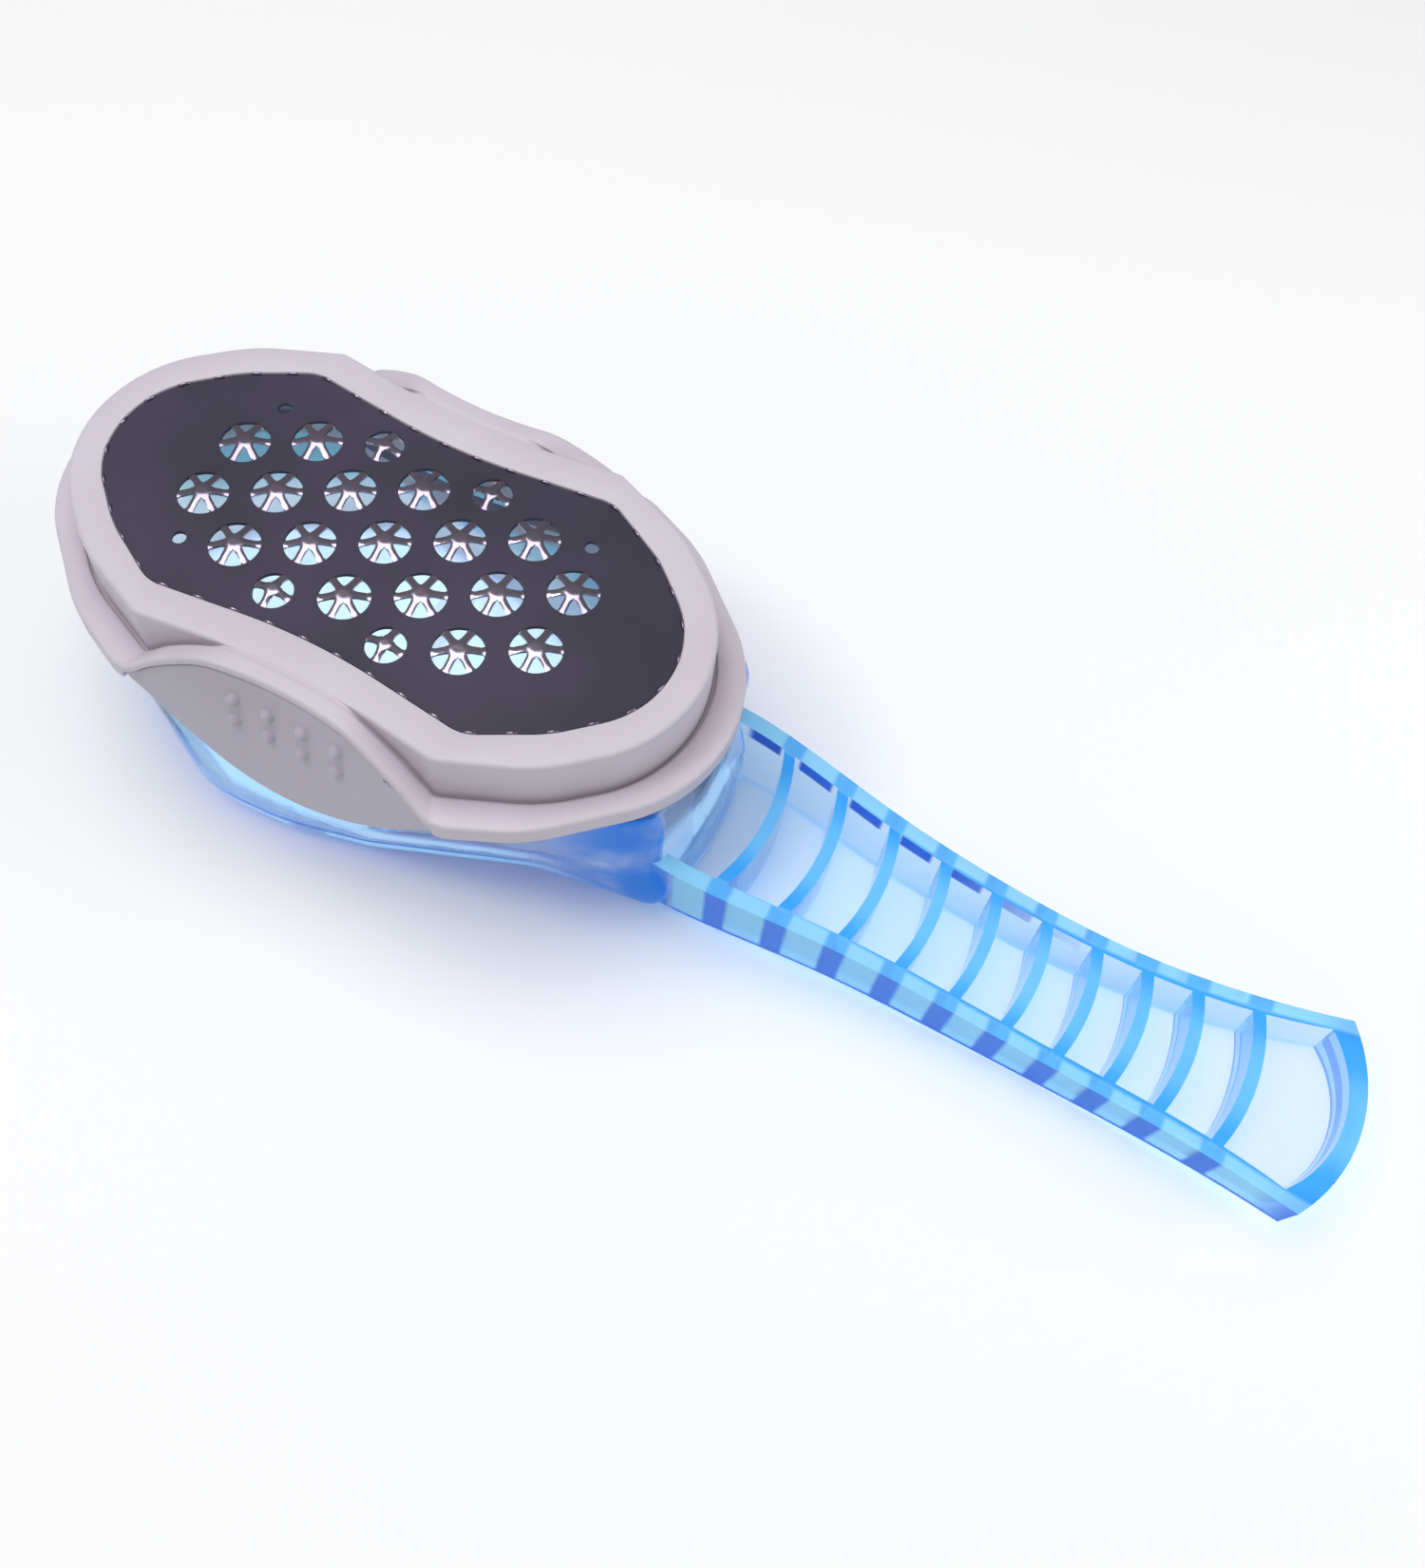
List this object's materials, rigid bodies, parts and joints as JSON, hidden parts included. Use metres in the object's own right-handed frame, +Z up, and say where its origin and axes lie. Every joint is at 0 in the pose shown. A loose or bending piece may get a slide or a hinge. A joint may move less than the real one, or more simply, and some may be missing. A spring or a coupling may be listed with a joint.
{
  "type": "foot callus rasp",
  "caption": "Hand-held foot file: perforated rasp plate in an hourglass frame over a translucent shavings tray with a ribbed handle; the head lifts off and has press tabs at the sides.",
  "frame": {"origin": "on the surface that the tool rests on, under the middle of its length and width", "axes": "+X from the head to the end of the handle, +Z up out of the rasp plate, +Y to the left when looking along +X; the XZ plane is the tool's symmetry plane"},
  "size_m": [0.1983, 0.0614, 0.0462],
  "materials": {
    "translucent_blue": "clear tinted polystyrene",
    "frame_plastic": "satin",
    "tab_plastic": "satin",
    "rasp_metal": "dark satin coating, bright edges"
  },
  "bodies": {
    "tray": {"handle_tray": "translucent_blue"},
    "head": {"head_frame": "frame_plastic", "rasp_plate": "rasp_metal"},
    "tab_left": {"release_tab_left": "tab_plastic"},
    "tab_right": {"release_tab_right": "tab_plastic"}
  },
  "joints": [
    {"name": "head_lift", "type": "slide", "parent": "tray", "child": "head", "axis": [0, 0, 1], "range_m": [0, 0.04]},
    {"name": "tab_left_press", "type": "hinge", "parent": "head", "child": "tab_left", "pos_m": [-0.04695, -0.0256, 0.0437], "axis": [1, 0, 0], "range_deg": [0, 2.5], "stiffness_Nm_per_rad": 0.5},
    {"name": "tab_right_press", "type": "hinge", "parent": "head", "child": "tab_right", "pos_m": [-0.04695, 0.0256, 0.0437], "axis": [-1, 0, 0], "range_deg": [0, 2.5], "stiffness_Nm_per_rad": 0.5}
  ]
}
